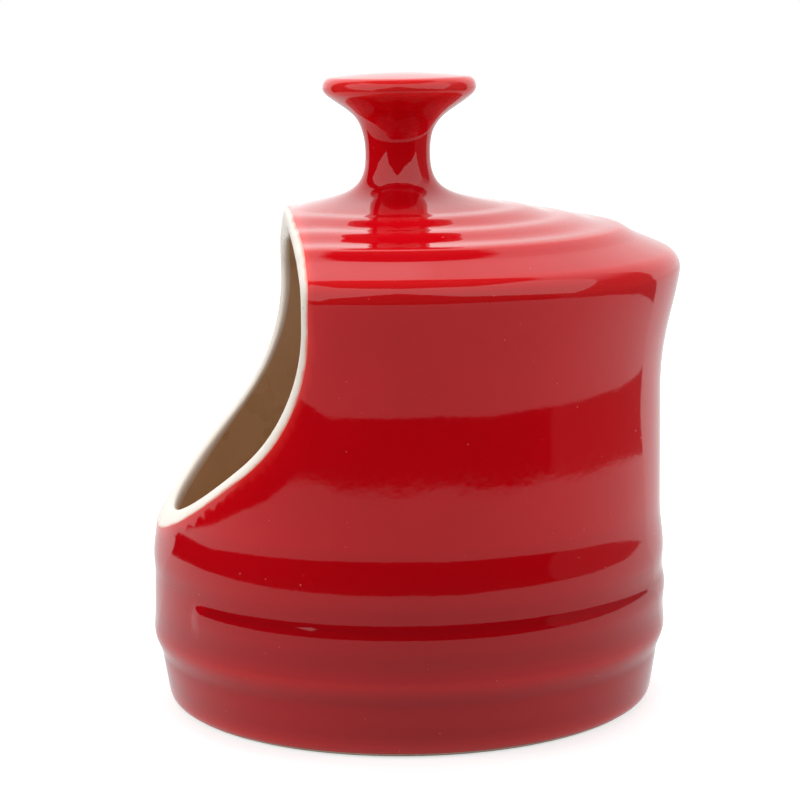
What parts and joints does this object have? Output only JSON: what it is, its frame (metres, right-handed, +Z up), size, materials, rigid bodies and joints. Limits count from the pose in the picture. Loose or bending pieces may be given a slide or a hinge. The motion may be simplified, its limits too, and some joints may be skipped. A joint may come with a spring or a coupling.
{
  "type": "salt pig",
  "caption": "Glazed stoneware salt pot with a ribbed foot, a hooded ridged roof with a knob, and a scooped open mouth in its front for a hand or spoon.",
  "frame": {"origin": "middle of the bounding box's footprint, on the surface that the pot stands on; the pot's axis of revolution stands 1.6 mm in front of it, at y = -1.6 mm", "axes": "+Z up along the pot's axis of revolution; the mouth faces -Y; +X to the right for someone who looks along +Y into the mouth"},
  "size_m": [0.1228, 0.1196, 0.14],
  "materials": {
    "clay": "bare fired stoneware, matt",
    "red_glaze": "glossy deep red glaze, thinner and brighter on edges",
    "cream_glaze": "glossy cream glaze",
    "sand_glaze": "satin sand-coloured glaze"
  },
  "bodies": {
    "root": {"body": "clay", "knob": "clay", "joint_slip": "clay", "outer_glaze": "red_glaze", "inner_glaze": "sand_glaze", "lip": "cream_glaze", "base_glaze": "red_glaze"}
  },
  "joints": []
}
